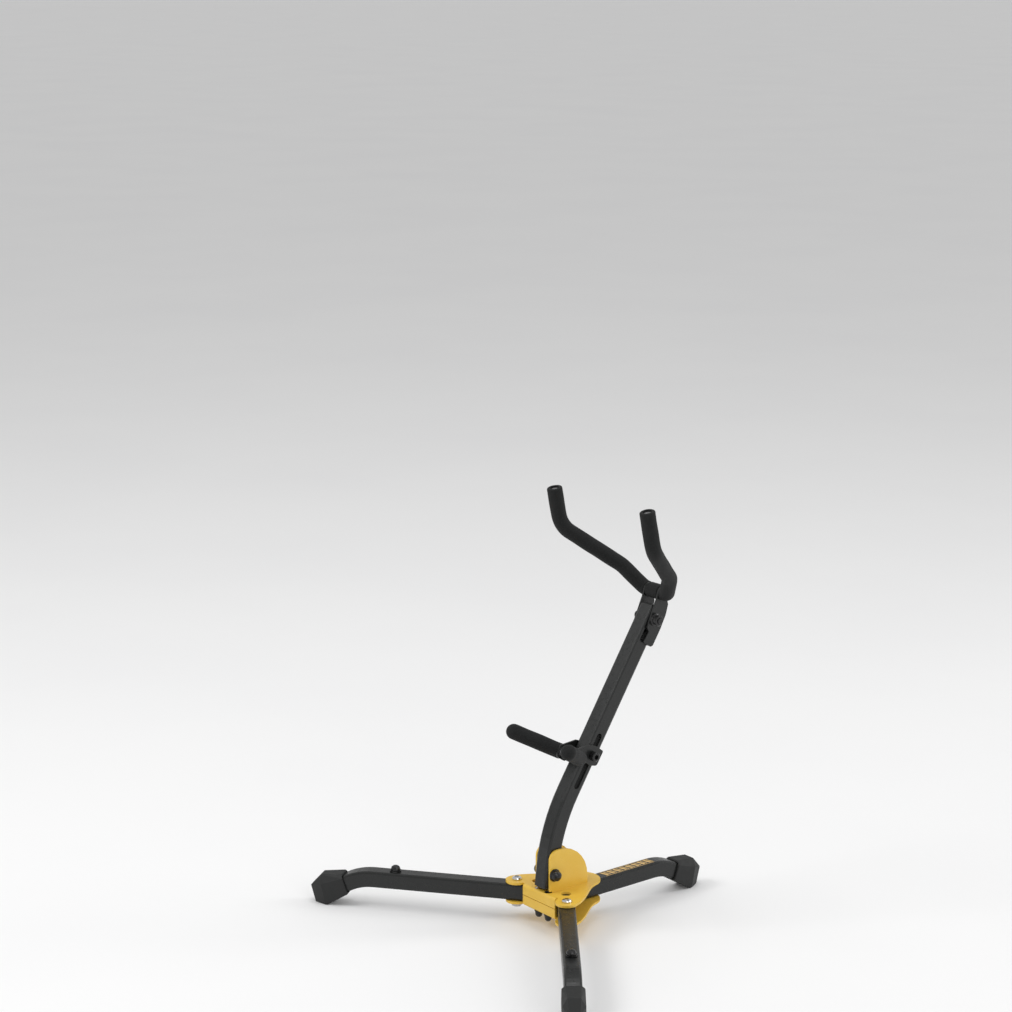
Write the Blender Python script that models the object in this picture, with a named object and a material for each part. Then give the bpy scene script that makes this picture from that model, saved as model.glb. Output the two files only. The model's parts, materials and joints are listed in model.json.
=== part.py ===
"""Folding saxophone stand: three square-tube legs on a sheet-metal hub, a bent mast that folds on the
hub's ears, a padded cradle that slides on the mast and a padded yoke that folds at its top.

Frame: metres, +Z up, floor at Z = 0. +Y is the rear, the way the mast leans. X = 0 is the stand's
plane of symmetry. Everything is built with the hub's centre at the origin, and the last step moves the
whole stand so that the origin lies on the floor under the middle of its bounding box.
"""
import math

import bmesh
import bpy
from mathutils import Matrix, Vector

MM = 0.001

# ---------------------------------------------------------------- driving dimensions
CLEAR = 0.3 * MM              # gap between two faces that touch on the real stand
SLIP = 0.3 * MM               # radial play of a pin or rod in its hole

# square tube, the same stock for the legs and the mast
TUBE = 15.0 * MM
TUBE_WALL = 1.5 * MM
TUBE_CORNER = 2.0 * MM

# hub: two sheet plates with the legs between them
SHEET = 2.0 * MM
HUB_HEIGHT = 36.5 * MM        # top face of the upper plate above the floor
LEG_PLAY = 0.5 * MM           # between a leg tube and each plate
LOBE_X = 34.2 * MM            # leg pivots, to each side
LOBE_Y = -4.4 * MM
LOBE_RADIUS = 10.0 * MM
TAIL_Y = 41.0 * MM            # centre of the plates' round rear end
TAIL_RADIUS = 17.0 * MM
WALL_FRONT = -7.6 * MM        # outer face of the folded front wall
WALL_HALF = 22.0 * MM         # half its width
WALL_BEND = 2.6 * MM          # outside radius of its fold
WALL_SEAM = 0.6 * MM          # gap between the upper and the lower flange
EDGE = 0.35 * MM              # rounding of sheet edges

# ears that carry the mast
EAR_PLAY = 0.4 * MM           # between the mast and each ear
EAR_FRONT = -3.0 * MM
EAR_REAR = 39.8 * MM
EAR_HEIGHT = 37.6 * MM        # above the upper plate
EAR_FRONT_RADIUS = 8.5 * MM
EAR_REAR_RADIUS = 31.0 * MM

# front legs, measured from the leg pivot outwards
LEG_SPLAY = math.radians(52.0)   # from straight ahead
LEG_TAIL = 24.0 * MM             # tube behind the pivot
LEG_KNEE = 144.0 * MM            # pivot to the corner where the tube turns down
LEG_DROP = math.radians(28.0)
LEG_BEND = 50.0 * MM             # radius of that bend, at the tube's centre
LEG_BUMPER = 111.3 * MM
DETENT_REACH = 18.3 * MM
REAR_LEG_START = 6.0 * MM        # inner end of the rear leg
REAR_LEG_ORIGIN = -9.0 * MM      # the rear leg is a front leg measured from here
REAR_SCREWS = (16.0 * MM, 31.0 * MM)

# rubber foot caps: corners as (outwards from the knee, above the floor, to each side)
CAP_TOP_INNER = (15.3 * MM, 28.9 * MM, 7.3 * MM)
CAP_TOP_OUTER = (36.0 * MM, 27.0 * MM, 6.0 * MM)
CAP_SIDE_INNER = (14.4 * MM, 26.5 * MM, 9.7 * MM)
CAP_SIDE_OUTER = (35.5 * MM, 20.0 * MM, 9.7 * MM)
CAP_BELLY = (9.5 * MM, 11.0 * MM, 9.7 * MM)
CAP_HEEL = (27.8 * MM, 0.0, 9.7 * MM)
CAP_CHEEK = (31.5 * MM, 0.0, 9.7 * MM)
CAP_TOE = (41.5 * MM, 0.0, 4.7 * MM)
CAP_NOSE = (45.5 * MM, 16.6 * MM, 4.7 * MM)
CAP_CORNERS = (CAP_TOP_INNER, CAP_TOP_OUTER, CAP_SIDE_INNER, CAP_SIDE_OUTER, CAP_BELLY, CAP_HEEL, CAP_CHEEK,
               CAP_TOE, CAP_NOSE)
CAP_TUBE_END = 30.0 * MM         # knee to the tube's end inside the cap, along the slope
CAP_ROUND = 0.9 * MM
BALL_STEPS = ((1, 0, 0), (-1, 0, 0), (0, 1, 0), (0, -1, 0), (0, 0, 1), (0, 0, -1),
              (1, 1, 1), (1, 1, -1), (1, -1, 1), (1, -1, -1),
              (-1, 1, 1), (-1, 1, -1), (-1, -1, 1), (-1, -1, -1))

# mast
MAST_PIVOT_Y = 1.8 * MM
MAST_PIVOT_RISE = 15.6 * MM      # pivot above the upper plate
MAST_BELOW = 12.8 * MM           # tube below the pivot
MAST_KNEE = 39.6 * MM            # pivot to the corner of the bend
MAST_LEAN_LOW = math.radians(6.5)
MAST_LEAN_TOP = math.radians(32.4)
MAST_BEND = 150.0 * MM
CRADLE_AT = 71.6 * MM            # knee to the cradle's clamp bolt
YOKE_AT = 203.2 * MM             # knee to the yoke's bolt
MAST_ABOVE = 10.0 * MM           # tube above the yoke's bolt
SLOT_BELOW = 32.3 * MM           # ends of the slot, from the clamp bolt
SLOT_ABOVE = 20.5 * MM
WINDOW_TOP = -11.0 * MM          # short window below the yoke's bolt
WINDOW_BOTTOM = -22.0 * MM
WINDOW_FRONT = -4.0 * MM
WINDOW_REAR = 0.6 * MM

# folded brackets on the mast
STRIP = 1.8 * MM                 # their sheet
BRACKET_PLAY = 0.5 * MM          # between the mast and each side plate
CRADLE_WEB_GAP = 0.5 * MM        # between the mast's rear face and the channel's web
YOKE_WEB_GAP = 2.1 * MM
YOKE_WEB_TOP = -9.6 * MM         # the web stops here, to pass the mast's end as the yoke folds

# side plates of the brackets: corners rearward of and along the mast from the bolt, with their radii
CRADLE_PLATE_REAR = ((2.4 * MM, -8.4 * MM, 0.0), (9.8 * MM, -6.0 * MM, 3.0 * MM),
                     (9.8 * MM, 8.3 * MM, 1.5 * MM), (-1.0 * MM, 9.0 * MM, 0.0),
                     (-8.6 * MM, 7.4 * MM, 2.0 * MM))
CRADLE_PLATE_THROAT = (-5.0 * MM, -8.2 * MM, 2.0 * MM)
YOKE_PLATE = ((-7.4 * MM, 16.0 * MM, 0.0), (-3.8 * MM, -9.5 * MM, 1.0 * MM), (0.0, -12.2 * MM, 1.0 * MM),
              (-0.7 * MM, -22.6 * MM, 1.0 * MM), (9.7 * MM, -22.6 * MM, 1.0 * MM),
              (11.4 * MM, -20.5 * MM, 1.5 * MM), (11.4 * MM, -4.0 * MM, 0.0), (10.2 * MM, 9.0 * MM, 0.0),
              (7.6 * MM, 18.0 * MM, 2.0 * MM))
# profile of the yoke's nut: radius and height over its seat
YOKE_NUT = ((5.7 * MM, 0.0), (5.7 * MM, 1.3 * MM), (4.5 * MM, 1.9 * MM), (4.5 * MM, 4.6 * MM),
            (5.0 * MM, 4.9 * MM), (5.0 * MM, 5.7 * MM), (4.3 * MM, 6.4 * MM))
CROSS_RECESS = (2.3 * MM, 0.45 * MM, 1.3 * MM)    # arm length, half width and depth of a cross recess

# padded rods
PAD_SIDES = 12
ROD_SIDES = 8
ROD_RADIUS = 4.0 * MM
PAD_RADIUS = 7.0 * MM
ROD_TURN = 8.0 * MM              # bends beside the brackets
NOSE_WALL = 2.0 * MM             # bracket metal round a rod
YOKE_BASE = (-3.5 * MM, 24.3 * MM)       # rearward of and along the mast from the yoke's bolt
YOKE_STRAIGHT = 14.5 * MM
YOKE_ELBOW = (31.5 * MM, -24.5 * MM, 34.0 * MM)
YOKE_SHOULDER = (61.0 * MM, -83.5 * MM, 40.5 * MM)
YOKE_TIP = (61.0 * MM, -108.8 * MM, 66.5 * MM)
YOKE_ELBOW_BEND = 22.0 * MM
YOKE_SHOULDER_BEND = 25.0 * MM
YOKE_ROD_RECESS = 1.5 * MM       # the rod's end lies this deep in the pad
CRADLE_BASE = (-17.2 * MM, -7.7 * MM)
CRADLE_STRAIGHT = 15.0 * MM
CRADLE_TIP = (40.6 * MM, -59.5 * MM, -10.0 * MM)
CRADLE_ROD_RECESS = 8.0 * MM

# fasteners: shaft radius, head radius, head height
LEG_PIVOT = (2.5 * MM, 4.3 * MM, 2.7 * MM)
TIE_SCREW = (1.8 * MM, 3.5 * MM, 1.7 * MM)
REAR_SCREW = (2.0 * MM, 4.0 * MM, 2.4 * MM)
BUMPER = (2.0 * MM, 4.2 * MM, 4.2 * MM)
MAST_BOLT = (3.0 * MM, 4.6 * MM, 4.6 * MM)
YOKE_BOLT = (2.5 * MM, 4.0 * MM, 4.6 * MM)
CLAMP_BOLT = (2.4 * MM, 4.2 * MM, 5.0 * MM)
BUSH_WALL = 1.5 * MM
TIE_X = 6.4 * MM
TIE_Y = -2.0 * MM
TIE_NUT_HEIGHT = 7.0 * MM
SPACER_WALL = 0.8 * MM
WASHER_RADIUS = 5.2 * MM
WASHER_THICK = 1.0 * MM
SOCKET_FLATS = 4.0 * MM
SPRING_TURNS = 4
SPRING_WIRE = 0.45 * MM

# ---------------------------------------------------------------- sizes that follow from them
HALF = TUBE / 2
DETENT_RADIUS = 0.533 * HALF
SPRING_RADIUS = 0.7 * DETENT_RADIUS
PLATE_TOP = HUB_HEIGHT
PLATE_UNDER = PLATE_TOP - SHEET
LEG_Z = PLATE_UNDER - LEG_PLAY - HALF
LOWER_TOP = LEG_Z - HALF - LEG_PLAY
LOWER_UNDER = LOWER_TOP - SHEET
WALL_MIDDLE = (PLATE_TOP + LOWER_UNDER) / 2
EAR_INNER = HALF + EAR_PLAY
EAR_OUTER = EAR_INNER + SHEET
MAST_PIVOT_Z = PLATE_TOP + MAST_PIVOT_RISE
BRACKET_INNER = HALF + BRACKET_PLAY
BRACKET_OUTER = BRACKET_INNER + STRIP
PAD_BORE = ROD_RADIUS + SLIP
FAR = 100.0 * MM                 # past the end of any bracket
LEG_DIRECTION = LEG_SPLAY - math.pi / 2


# ---------------------------------------------------------------- outlines
def arc(centre, radius, start, end, steps=8):
    """Points on an arc, angles in degrees."""
    points = []
    for i in range(steps + 1):
        angle = math.radians(start + (end - start) * i / steps)
        points.append((centre[0] + radius * math.cos(angle), centre[1] + radius * math.sin(angle)))
    return points


def bezier(a, b, c, d, steps):
    """Inner points of a cubic curve from a to d."""
    points = []
    for i in range(1, steps):
        t = i / steps
        weights = ((1 - t) ** 3, 3 * t * (1 - t) ** 2, 3 * t * t * (1 - t), t ** 3)
        points.append(tuple(sum(w * p[k] for w, p in zip(weights, (a, b, c, d))) for k in (0, 1)))
    return points


def fillet(points, radii, steps=3, closed=True):
    """Replace corners of a polyline, in two or three dimensions, by arcs of the given radii."""
    result = []
    count = len(points)
    for i, point in enumerate(points):
        corner = Vector(point)
        radius = radii[i]
        if radius == 0 or (not closed and i in (0, count - 1)):
            result.append(corner)
            continue
        to_last = (Vector(points[i - 1]) - corner).normalized()
        to_next = (Vector(points[(i + 1) % count]) - corner).normalized()
        half_angle = math.acos(max(-1.0, min(1.0, to_last.dot(to_next)))) / 2
        bisector = (to_last + to_next).normalized()
        centre = corner + bisector * (radius / math.sin(half_angle))
        start = corner + to_last * (radius / math.tan(half_angle)) - centre
        end = corner + to_next * (radius / math.tan(half_angle)) - centre
        sweep = math.pi - 2 * half_angle
        for k in range(steps + 1):
            share = k / steps
            mix = start * math.sin((1 - share) * sweep) + end * math.sin(share * sweep)
            result.append(centre + mix / math.sin(sweep))
    return result


def square(half, corner, steps=2):
    """Outline of a square tube."""
    points = [(half, half), (-half, half), (-half, -half), (half, -half)]
    return fillet(points, [corner] * 4, steps)


def circle(radius, sides):
    return [(radius * math.cos(2 * math.pi * i / sides), radius * math.sin(2 * math.pi * i / sides))
            for i in range(sides)]


# ---------------------------------------------------------------- solids
def loft(bm, rings, closed=False):
    """Skin a row of equal rings; a closed row is a tube, an open one gets end faces."""
    rows = [[bm.verts.new(p) for p in ring] for ring in rings]
    pairs = list(zip(rows, rows[1:] + rows[:1])) if closed else list(zip(rows, rows[1:]))
    for a, b in pairs:
        for i in range(len(a)):
            k = (i + 1) % len(a)
            bm.faces.new((a[i], a[k], b[k], b[i]))
    if not closed:
        bm.faces.new(rows[0][::-1])
        bm.faces.new(rows[-1])
    return bm


def prism(bm, outline, low, high, along):
    """Extrude an outline between two heights; along names the axis and (u, v) are the other two."""
    order = {"X": lambda u, v, w: (w, u, v), "Z": lambda u, v, w: (u, v, w)}[along]
    return loft(bm, [[order(p[0], p[1], w) for p in outline] for w in (low, high)])


def box(bm, low, high):
    outline = [(low[0], low[1]), (high[0], low[1]), (high[0], high[1]), (low[0], high[1])]
    return prism(bm, outline, low[2], high[2], "Z")


def turned(bm, profile, sides=16, axis="Z", centre=(0, 0, 0), closed=False):
    """Turn (radius, height) points round an axis through centre."""
    spots = circle(1.0, sides)
    order = {"Z": lambda x, y, h: (x, y, h), "X": lambda x, y, h: (h, x, y)}[axis]
    rings = []
    for radius, height in profile:
        rings.append([Vector(order(x * radius, y * radius, height)) + Vector(centre) for x, y in spots])
    return loft(bm, rings, closed)


def frames(path, side):
    """Tangent frames along a path, carried without twist from a first side vector."""
    path = [Vector(p) for p in path]
    result = []
    tangent = None
    side = Vector(side)
    for i, point in enumerate(path):
        ahead = path[min(i + 1, len(path) - 1)] - point
        behind = point - path[max(i - 1, 0)]
        fresh = (ahead.normalized() + behind.normalized()).normalized()
        if tangent is not None:
            side = tangent.rotation_difference(fresh) @ side
        tangent = fresh
        result.append((point, side, tangent.cross(side), tangent))
    return result


def rings_along(path, side, outline, grow=None):
    """The outline set across the path at each of its points."""
    rings = []
    for i, (point, u, v, _) in enumerate(frames(path, side)):
        scale = 1.0 if grow is None else grow[i]
        rings.append([point + u * (p[0] * scale) + v * (p[1] * scale) for p in outline])
    return rings


def hollow(bm, path, side, outer, inner):
    """A tube: outer skin out along the path, inner skin back."""
    rings = rings_along(path, side, outer) + rings_along(path, side, inner)[::-1]
    return loft(bm, rings, closed=True)


# ---------------------------------------------------------------- objects
def clear_scene():
    for obj in list(bpy.data.objects):
        bpy.data.objects.remove(obj, do_unlink=True)


def material(name, colour, roughness, metallic=0.0):
    mat = bpy.data.materials.new(name)
    mat.use_nodes = True
    shader = mat.node_tree.nodes["Principled BSDF"]
    shader.inputs["Base Color"].default_value = (*colour, 1.0)
    shader.inputs["Roughness"].default_value = roughness
    shader.inputs["Metallic"].default_value = metallic
    mat.diffuse_color = (*colour, 1.0)
    return mat


def empty(name, parent=None, location=(0, 0, 0), rotation=(0, 0, 0)):
    obj = bpy.data.objects.new(name, None)
    bpy.context.scene.collection.objects.link(obj)
    obj.parent = parent
    obj.location = location
    obj.rotation_euler = rotation
    return obj


def place(name, bm, parent, finish, tilt=None):
    """Turn a bmesh into a named object; tilt is a matrix for its points in the parent's frame."""
    if tilt is not None:
        bmesh.ops.transform(bm, matrix=tilt, verts=bm.verts)
    bmesh.ops.recalc_face_normals(bm, faces=bm.faces)
    mesh = bpy.data.meshes.new(name)
    bm.to_mesh(mesh)
    bm.free()
    mesh.shade_smooth()
    mesh.set_sharp_from_angle(angle=math.radians(35))
    obj = bpy.data.objects.new(name, mesh)
    bpy.context.scene.collection.objects.link(obj)
    obj.parent = parent
    if finish is not None:
        mesh.materials.append(finish)
    return obj


def tool(target, name, bm, operation, tilt=None):
    """Cut a hidden shape out of an object, or weld it on."""
    shape = place(target.name + "_" + name, bm, target.parent, None, tilt)
    shape.hide_render = True
    shape.display_type = "WIRE"
    modifier = target.modifiers.new(name, "BOOLEAN")
    modifier.operation = operation
    modifier.object = shape
    return shape


def soften(target, width, segments=1, angle=50):
    """Round the edges that are left after the cuts."""
    modifier = target.modifiers.new("soften", "BEVEL")
    modifier.width = width
    modifier.segments = segments
    modifier.limit_method = "ANGLE"
    modifier.angle_limit = math.radians(angle)
    return modifier


# ---------------------------------------------------------------- fastener shapes
def dome(radius, start, height, steps=3):
    """Profile of a dome that stands on start and ends near its pole."""
    profile = []
    for i in range(steps + 1):
        angle = math.radians(86) * i / steps
        profile.append((radius * math.cos(angle), start + height * math.sin(angle)))
    return profile


def screw(bm, shaft, head, height, seat, end, sides=16, axis="Z", centre=(0, 0, 0)):
    """Domed screw: its head stands on seat and the shaft runs to end, on the other side."""
    out = 1.0 if seat > end else -1.0
    rim = 0.3 * height
    profile = [(shaft - 0.4 * MM, end), (shaft, end + out * 0.4 * MM), (shaft, seat), (head, seat)]
    profile += dome(head, seat + out * rim, out * (height - rim))
    return turned(bm, profile, sides, axis, centre)


def bush(bm, bore, outside, low, high, sides=16, axis="Z", centre=(0, 0, 0)):
    profile = [(bore, low), (outside, low), (outside, high), (bore, high)]
    return turned(bm, profile, sides, axis, centre, closed=True)


def dome_nut(bm, shaft, radius, seat, height, sides=16, axis="Z", centre=(0, 0, 0)):
    """Cap nut with a washer face; a negative height builds towards lower values."""
    out = math.copysign(1.0, height)
    bore = shaft + SLIP
    depth = seat + height * 0.6
    flange = seat + height * 0.2
    profile = [(bore * 0.2, depth), (bore, depth), (bore, seat), (radius * 1.15, seat),
               (radius * 1.15, flange - out * 0.2 * MM), (radius, flange)]
    profile += dome(radius * 0.96, seat + height * 0.5, height * 0.5)
    return turned(bm, profile, sides, axis, centre)


def hex_nut(name, parent, finish, shaft, flats, low, high, axis="Z", centre=(0, 0, 0)):
    """Plain hexagon nut, its bore cut through."""
    across = flats / 2 / math.cos(math.pi / 6)
    nut = place(name, turned(bmesh.new(), [(across, low), (across, high)], 6, axis, centre), parent, finish)
    bore = [(shaft + SLIP, low - MM), (shaft + SLIP, high + MM)]
    tool(nut, "bore", turned(bmesh.new(), bore, 12, axis, centre), "DIFFERENCE")
    soften(nut, 0.3 * MM, 1)
    return nut


def hole(bm, radius, low, high, axis="Z", centre=(0, 0, 0), sides=16):
    return turned(bm, [(radius, low), (radius, high)], sides, axis, centre)


# ---------------------------------------------------------------- hub
def plate_outline():
    """Right half lobes and tail, mirrored: front lobes round the leg pivots and a round tail."""
    start_angle = 180 - math.degrees(math.asin((WALL_FRONT + WALL_BEND - LOBE_Y) / LOBE_RADIUS))
    lobe = arc((LOBE_X, LOBE_Y), LOBE_RADIUS, start_angle, 372, 10)
    tail = arc((0, TAIL_Y), TAIL_RADIUS, 8, 90, 6)
    lobe_exit = (lobe[-1][0] - 3.7 * MM, lobe[-1][1] + 17.6 * MM)
    tail_entry = (tail[0][0] + 1.4 * MM, tail[0][1] - 10.0 * MM)
    right = lobe + bezier(lobe[-1], lobe_exit, tail_entry, tail[0], 6) + tail
    left = [(-x, y) for x, y in right[:-1]][::-1]
    return right + left


def front_wall(bm, outer, seam):
    """Flange folded from a plate at height outer towards the seam."""
    turn = math.copysign(1.0, seam - outer)
    outline = [(WALL_FRONT, seam), (WALL_FRONT, outer), (WALL_FRONT + 3 * WALL_BEND, outer),
               (WALL_FRONT + 3 * WALL_BEND, outer + turn * SHEET), (WALL_FRONT + SHEET, outer + turn * SHEET),
               (WALL_FRONT + SHEET, seam)]
    rounded = fillet(outline, [0, WALL_BEND, 0, 0, WALL_BEND - SHEET, 0], 3)
    return prism(bm, rounded, -WALL_HALF, WALL_HALF, "X")


def ear(bm, side):
    outline = [(EAR_FRONT, PLATE_UNDER + SHEET / 2), (EAR_REAR, PLATE_UNDER + SHEET / 2),
               (EAR_REAR, PLATE_TOP + EAR_HEIGHT), (EAR_FRONT, PLATE_TOP + EAR_HEIGHT)]
    rounded = fillet(outline, [0, 0, EAR_REAR_RADIUS, EAR_FRONT_RADIUS], 7)
    low, high = sorted((side * EAR_INNER, side * EAR_OUTER))
    return prism(bm, rounded, low, high, "X")


def plate_holes(bm, low, high):
    """Holes that both plates share: leg pivots, tie screws and rear leg screws."""
    for side in (-1, 1):
        hole(bm, LEG_PIVOT[0] + SLIP, low, high, "Z", (side * LOBE_X, LOBE_Y, 0))
        hole(bm, TIE_SCREW[0] + SLIP, low, high, "Z", (side * TIE_X, TIE_Y, 0))
    for y in REAR_SCREWS:
        hole(bm, REAR_SCREW[0] + SLIP, low, high, "Z", (0, y, 0))
    return bm


def detent_place(side):
    """The detent lies on the leg's line, behind its pivot."""
    return (side * (LOBE_X - DETENT_REACH * math.cos(LEG_DIRECTION)),
            LOBE_Y - DETENT_REACH * math.sin(LEG_DIRECTION), 0)


def make_hub(root, yellow):
    sheet = prism(bmesh.new(), plate_outline(), PLATE_UNDER, PLATE_TOP, "Z")
    top = place("hub_top_plate", sheet, root, yellow)
    tool(top, "wall", front_wall(bmesh.new(), PLATE_TOP, WALL_MIDDLE + WALL_SEAM / 2), "UNION")
    for side, name in ((-1, "left_ear"), (1, "right_ear")):
        tool(top, name, ear(bmesh.new(), side), "UNION")
    holes = plate_holes(bmesh.new(), PLATE_UNDER - MM, PLATE_TOP + MM)
    for side in (-1, 1):
        hole(holes, DETENT_RADIUS + 0.5 * MM, PLATE_UNDER - MM, PLATE_TOP + MM, "Z", detent_place(side))
    tool(top, "holes", holes, "DIFFERENCE")
    sinks = bmesh.new()
    for side in (-1, 1):
        sink = [(TIE_SCREW[0] + SLIP, PLATE_TOP - TIE_SCREW[2]), (TIE_SCREW[1] + SLIP, PLATE_TOP),
                (TIE_SCREW[1] + SLIP, PLATE_TOP + MM)]
        turned(sinks, sink, 16, "Z", (side * TIE_X, TIE_Y, 0))
    tool(top, "sinks", sinks, "DIFFERENCE")
    pivot = hole(bmesh.new(), MAST_BOLT[0] + SLIP, -EAR_OUTER - MM, EAR_OUTER + MM, "X",
                 (0, MAST_PIVOT_Y, MAST_PIVOT_Z))
    tool(top, "pivot", pivot, "DIFFERENCE")
    soften(top, EDGE)

    sheet = prism(bmesh.new(), plate_outline(), LOWER_UNDER, LOWER_TOP, "Z")
    low = place("hub_bottom_plate", sheet, root, yellow)
    tool(low, "wall", front_wall(bmesh.new(), LOWER_UNDER, WALL_MIDDLE - WALL_SEAM / 2), "UNION")
    tool(low, "holes", plate_holes(bmesh.new(), LOWER_UNDER - MM, LOWER_TOP + MM), "DIFFERENCE")
    soften(low, EDGE)


def make_hub_fasteners(root, chrome, black, steel):
    shaft, head, height = TIE_SCREW
    for side, name in ((-1, "left"), (1, "right")):
        spot = (side * TIE_X, TIE_Y, 0)
        profile = [(shaft, LOWER_UNDER - 4.5 * MM), (shaft, PLATE_TOP - height), (head, PLATE_TOP - CLEAR)]
        place("tie_screw_" + name, turned(bmesh.new(), profile, 16, "Z", spot), root, steel)
        spacer = bush(bmesh.new(), shaft + SLIP, shaft + SLIP + SPACER_WALL, LOWER_TOP + CLEAR,
                      PLATE_UNDER - CLEAR, 16, "Z", spot)
        place("tie_spacer_" + name, spacer, root, steel)
        nut = dome_nut(bmesh.new(), shaft, 3.4 * MM, LOWER_UNDER - CLEAR, -TIE_NUT_HEIGHT, 16, "Z", spot)
        place("tie_nut_" + name, nut, root, black)

        spot = (side * LOBE_X, LOBE_Y, 0)
        pin = screw(bmesh.new(), *LEG_PIVOT, PLATE_TOP + CLEAR, LOWER_UNDER - 5.0 * MM, 18, "Z", spot)
        pin = place("leg_pivot_screw_" + name, pin, root, chrome)
        cross = bmesh.new()
        arm, slot, depth = CROSS_RECESS
        floor = PLATE_TOP + CLEAR + LEG_PIVOT[2] - depth
        plus = [(arm, slot), (slot, slot), (slot, arm), (-slot, arm), (-slot, slot), (-arm, slot),
                (-arm, -slot), (-slot, -slot), (-slot, -arm), (slot, -arm), (slot, -slot), (arm, -slot)]
        moved = [(x + spot[0], y + spot[1]) for x, y in plus]
        tool(pin, "recess", prism(cross, moved, floor, floor + 5 * MM, "Z"), "DIFFERENCE")
        outside = LEG_PIVOT[0] + SLIP + BUSH_WALL
        sleeve = bush(bmesh.new(), LEG_PIVOT[0] + SLIP, outside, LOWER_TOP + CLEAR, PLATE_UNDER - CLEAR,
                      20, "Z", spot)
        place("leg_pivot_bush_" + name, sleeve, root, steel)
        hex_nut("leg_pivot_nut_" + name, root, steel, LEG_PIVOT[0], 8.0 * MM, LOWER_UNDER - CLEAR - 4.0 * MM,
                LOWER_UNDER - CLEAR, "Z", spot)

    for y, name in zip(REAR_SCREWS, ("front", "back")):
        bolt = screw(bmesh.new(), *REAR_SCREW, PLATE_TOP + CLEAR, LOWER_UNDER - 4.2 * MM, 16, "Z", (0, y, 0))
        place("rear_leg_screw_" + name, bolt, root, black)
        hex_nut("rear_leg_nut_" + name, root, steel, REAR_SCREW[0], 7.0 * MM, LOWER_UNDER - CLEAR - 3.2 * MM,
                LOWER_UNDER - CLEAR, "Z", (0, y, 0))


# ---------------------------------------------------------------- legs
def leg_path(start):
    """Tube centre line in the leg's own frame: +X outwards, Z = 0 at the tube's centre."""
    end = (LEG_KNEE + CAP_TUBE_END * math.cos(LEG_DROP), 0, -CAP_TUBE_END * math.sin(LEG_DROP))
    return fillet([(start, 0, 0), (LEG_KNEE, 0, 0), end], [0, LEG_BEND, 0], 6, closed=False)


def leg_tube(name, parent, finish, start):
    bm = hollow(bmesh.new(), leg_path(start), (0, 1, 0), square(HALF, TUBE_CORNER),
                square(HALF - TUBE_WALL, TUBE_CORNER - TUBE_WALL + 0.2 * MM))
    return place(name, bm, parent, finish)


def foot_cap(name, parent, finish):
    """Rubber boot on the sloping end: a blunt, tapering block whose sole lies on the floor."""
    corners = []
    for out, height, half in CAP_CORNERS:
        for side in (-1, 1):
            corners.append(Vector((LEG_KNEE + out, side * half, height - LEG_Z)))
    middle = sum(corners, Vector()) / len(corners)
    bm = bmesh.new()
    for corner in corners:
        # each corner is a small faceted ball that touches the block's outermost planes
        inwards = Vector([math.copysign(CAP_ROUND, m - c) for m, c in zip(middle, corner)])
        for step in BALL_STEPS:
            bm.verts.new(corner + inwards + Vector(step).normalized() * CAP_ROUND)
    bmesh.ops.convex_hull(bm, input=bm.verts)
    loose = [v for v in bm.verts if not v.link_faces]
    bmesh.ops.delete(bm, geom=loose, context="VERTS")
    cap = place(name, bm, parent, finish)
    slope = Matrix.Translation((LEG_KNEE, 0, 0)) @ Matrix.Rotation(LEG_DROP, 4, "Y")
    inside = HALF + SLIP
    pocket = box(bmesh.new(), (0, -inside, -inside), (CAP_TUBE_END + CLEAR, inside, inside))
    tool(cap, "pocket", pocket, "DIFFERENCE", slope)
    return cap


def helix(radius, low, high, turns, steps=8):
    path = []
    for i in range(turns * steps + 1):
        angle = 2 * math.pi * i / steps
        height = low + (high - low) * i / (turns * steps)
        path.append((radius * math.cos(angle), radius * math.sin(angle), height))
    return path


def make_front_leg(name, hinge, finishes):
    black, rubber, steel = finishes
    tube = leg_tube("leg_tube_" + name, hinge, black, -LEG_TAIL)
    cuts = hole(bmesh.new(), LEG_PIVOT[0] + 2 * SLIP + BUSH_WALL, -HALF - MM, HALF + MM)
    hole(cuts, BUMPER[0] + SLIP, 0, HALF + MM, "Z", (LEG_BUMPER, 0, 0))
    hole(cuts, DETENT_RADIUS + SLIP, 0, HALF + MM, "Z", (-DETENT_REACH, 0, 0))
    tool(tube, "holes", cuts, "DIFFERENCE")
    foot_cap("foot_cap_" + name, hinge, rubber)

    spot = (LEG_BUMPER, 0, 0)
    seat = HALF + CLEAR
    washer = bush(bmesh.new(), BUMPER[0] + SLIP, WASHER_RADIUS, seat, seat + WASHER_THICK, 16, "Z", spot)
    place("bumper_washer_" + name, washer, hinge, black)
    pin = screw(bmesh.new(), *BUMPER, seat + WASHER_THICK + CLEAR, HALF - 5.0 * MM, 16, "Z", spot)
    place("bumper_screw_" + name, pin, hinge, black)

    spot = (-DETENT_REACH, 0, 0)
    roof = HALF - TUBE_WALL
    crown = HALF + LEG_PLAY - CLEAR
    flange = roof - CLEAR
    profile = [(DETENT_RADIUS + 0.9 * MM, flange - 1.2 * MM), (DETENT_RADIUS + 0.9 * MM, flange),
               (DETENT_RADIUS, flange), (DETENT_RADIUS, crown - 0.5 * MM), (DETENT_RADIUS - 0.6 * MM, crown)]
    place("detent_button_" + name, turned(bmesh.new(), profile, 16, "Z", spot), hinge, steel)
    low = -roof + CLEAR + SPRING_WIRE
    high = roof - 2 * CLEAR - 1.2 * MM - SPRING_WIRE
    coil = [Vector(p) + Vector(spot) for p in helix(SPRING_RADIUS, low, high, SPRING_TURNS)]
    wire = rings_along(coil, (1, 0, 0), circle(SPRING_WIRE, 5))
    place("detent_spring_" + name, loft(bmesh.new(), wire), hinge, steel)


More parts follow.
